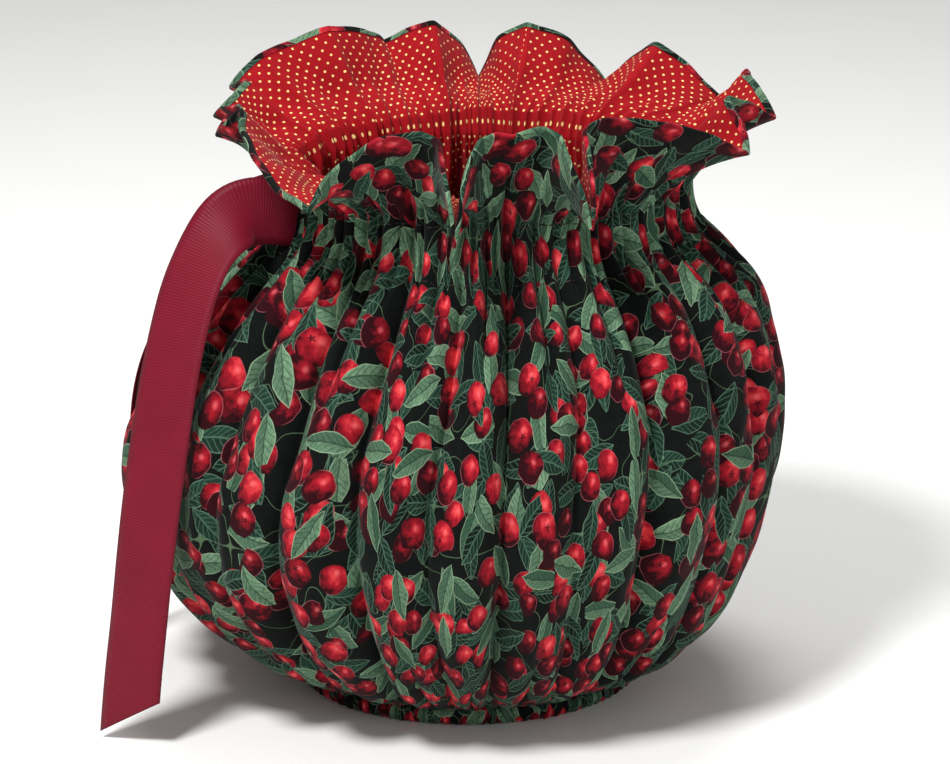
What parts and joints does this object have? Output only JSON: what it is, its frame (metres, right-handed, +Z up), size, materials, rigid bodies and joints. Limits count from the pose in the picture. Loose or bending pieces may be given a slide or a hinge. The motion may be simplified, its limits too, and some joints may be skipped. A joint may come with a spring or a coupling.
{
  "type": "drawstring gift pouch",
  "caption": "Round padded cloth pouch with a gathered turned-out collar, closed by a flat ribbon drawstring that leaves the casing at one side.",
  "frame": {"origin": "middle of the base panel's underside, on the surface that the pouch stands on", "axes": "+Z up along the pouch's axis, front faces -Y, the ribbon leaves the casing towards -X"},
  "size_m": [0.2612, 0.2502, 0.2335],
  "materials": {
    "print_cotton": "printed quilting cotton, red berries and green leaves on black",
    "lining_cotton": "printed quilting cotton, red with pale pin dots",
    "wadding": "needled polyester wadding",
    "elastic": "flat braided elastic",
    "ribbon": "grosgrain ribbon, ribbed across, burgundy"
  },
  "bodies": {
    "pouch": {"outer_shell": "print_cotton", "wall_wadding": "wadding", "wall_lining": "lining_cotton", "base_outer": "print_cotton", "base_wadding": "wadding", "base_lining": "lining_cotton", "hem_casing": "print_cotton", "hem_elastic": "elastic"},
    "ribbon_front": {"ribbon_tail_front": "ribbon"},
    "ribbon_rear": {"ribbon_tail_rear": "ribbon"},
    "gather_01": {"collar_outer_01": "print_cotton", "collar_lining_01": "lining_cotton", "drawstring_run_01": "ribbon"},
    "gather_02": {"collar_outer_02": "print_cotton", "collar_lining_02": "lining_cotton", "drawstring_run_02": "ribbon"},
    "gather_03": {"collar_outer_03": "print_cotton", "collar_lining_03": "lining_cotton", "drawstring_run_03": "ribbon"},
    "gather_04": {"collar_outer_04": "print_cotton", "collar_lining_04": "lining_cotton", "drawstring_run_04": "ribbon"},
    "gather_05": {"collar_outer_05": "print_cotton", "collar_lining_05": "lining_cotton", "drawstring_run_05": "ribbon"},
    "gather_06": {"collar_outer_06": "print_cotton", "collar_lining_06": "lining_cotton", "drawstring_run_06": "ribbon"},
    "gather_07": {"collar_outer_07": "print_cotton", "collar_lining_07": "lining_cotton"},
    "gather_08": {"collar_outer_08": "print_cotton", "collar_lining_08": "lining_cotton", "drawstring_run_08": "ribbon"},
    "gather_09": {"collar_outer_09": "print_cotton", "collar_lining_09": "lining_cotton", "drawstring_run_09": "ribbon"},
    "gather_10": {"collar_outer_10": "print_cotton", "collar_lining_10": "lining_cotton", "drawstring_run_10": "ribbon"},
    "gather_11": {"collar_outer_11": "print_cotton", "collar_lining_11": "lining_cotton", "drawstring_run_11": "ribbon"},
    "gather_12": {"collar_outer_12": "print_cotton", "collar_lining_12": "lining_cotton", "drawstring_run_12": "ribbon"}
  },
  "joints": [
    {"name": "drawstring_pull", "type": "slide", "parent": "gather_08", "child": "ribbon_front", "axis": [-1, 0, 0], "range_m": [0, 0.0472]},
    {"name": "rear_tail_pull", "type": "slide", "parent": "gather_06", "child": "ribbon_rear", "axis": [-1, 0, 0], "range_m": [0, 0.0472]},
    {"name": "gather_01_draw", "type": "slide", "parent": "pouch", "child": "gather_01", "axis": [-0.887, -0.4617, 0], "range_m": [0, 0.0151]},
    {"name": "gather_02_draw", "type": "slide", "parent": "pouch", "child": "gather_02", "axis": [-0.4226, -0.9063, 0], "range_m": [0, 0.0151]},
    {"name": "gather_03_draw", "type": "slide", "parent": "pouch", "child": "gather_03", "axis": [0.0087, -1, 0], "range_m": [0, 0.0151]},
    {"name": "gather_04_draw", "type": "slide", "parent": "pouch", "child": "gather_04", "axis": [0.4147, -0.91, 0], "range_m": [0, 0.0151]},
    {"name": "gather_05_draw", "type": "slide", "parent": "pouch", "child": "gather_05", "axis": [0.809, -0.5878, 0], "range_m": [0, 0.0151]},
    {"name": "gather_06_draw", "type": "slide", "parent": "pouch", "child": "gather_06", "axis": [0.9903, -0.1392, 0], "range_m": [0, 0.0151]},
    {"name": "gather_07_draw", "type": "slide", "parent": "pouch", "child": "gather_07", "axis": [0.9636, 0.2672, 0], "range_m": [0, 0.0151]},
    {"name": "gather_08_draw", "type": "slide", "parent": "pouch", "child": "gather_08", "axis": [0.6626, 0.749, 0], "range_m": [0, 0.0151]},
    {"name": "gather_09_draw", "type": "slide", "parent": "pouch", "child": "gather_09", "axis": [0.1219, 0.9925, 0], "range_m": [0, 0.0151]},
    {"name": "gather_10_draw", "type": "slide", "parent": "pouch", "child": "gather_10", "axis": [-0.3502, 0.9367, 0], "range_m": [0, 0.0151]},
    {"name": "gather_11_draw", "type": "slide", "parent": "pouch", "child": "gather_11", "axis": [-0.7716, 0.6361, 0], "range_m": [0, 0.0151]},
    {"name": "gather_12_draw", "type": "slide", "parent": "pouch", "child": "gather_12", "axis": [-0.9863, 0.165, 0], "range_m": [0, 0.0151]}
  ],
  "couplings": [
    {"joint": "rear_tail_pull", "follows": "drawstring_pull", "ratio": 1},
    {"joint": "gather_01_draw", "follows": "drawstring_pull", "ratio": 0.31831},
    {"joint": "gather_02_draw", "follows": "drawstring_pull", "ratio": 0.31831},
    {"joint": "gather_03_draw", "follows": "drawstring_pull", "ratio": 0.31831},
    {"joint": "gather_04_draw", "follows": "drawstring_pull", "ratio": 0.31831},
    {"joint": "gather_05_draw", "follows": "drawstring_pull", "ratio": 0.31831},
    {"joint": "gather_06_draw", "follows": "drawstring_pull", "ratio": 0.31831},
    {"joint": "gather_07_draw", "follows": "drawstring_pull", "ratio": 0.31831},
    {"joint": "gather_08_draw", "follows": "drawstring_pull", "ratio": 0.31831},
    {"joint": "gather_09_draw", "follows": "drawstring_pull", "ratio": 0.31831},
    {"joint": "gather_10_draw", "follows": "drawstring_pull", "ratio": 0.31831},
    {"joint": "gather_11_draw", "follows": "drawstring_pull", "ratio": 0.31831},
    {"joint": "gather_12_draw", "follows": "drawstring_pull", "ratio": 0.31831}
  ]
}
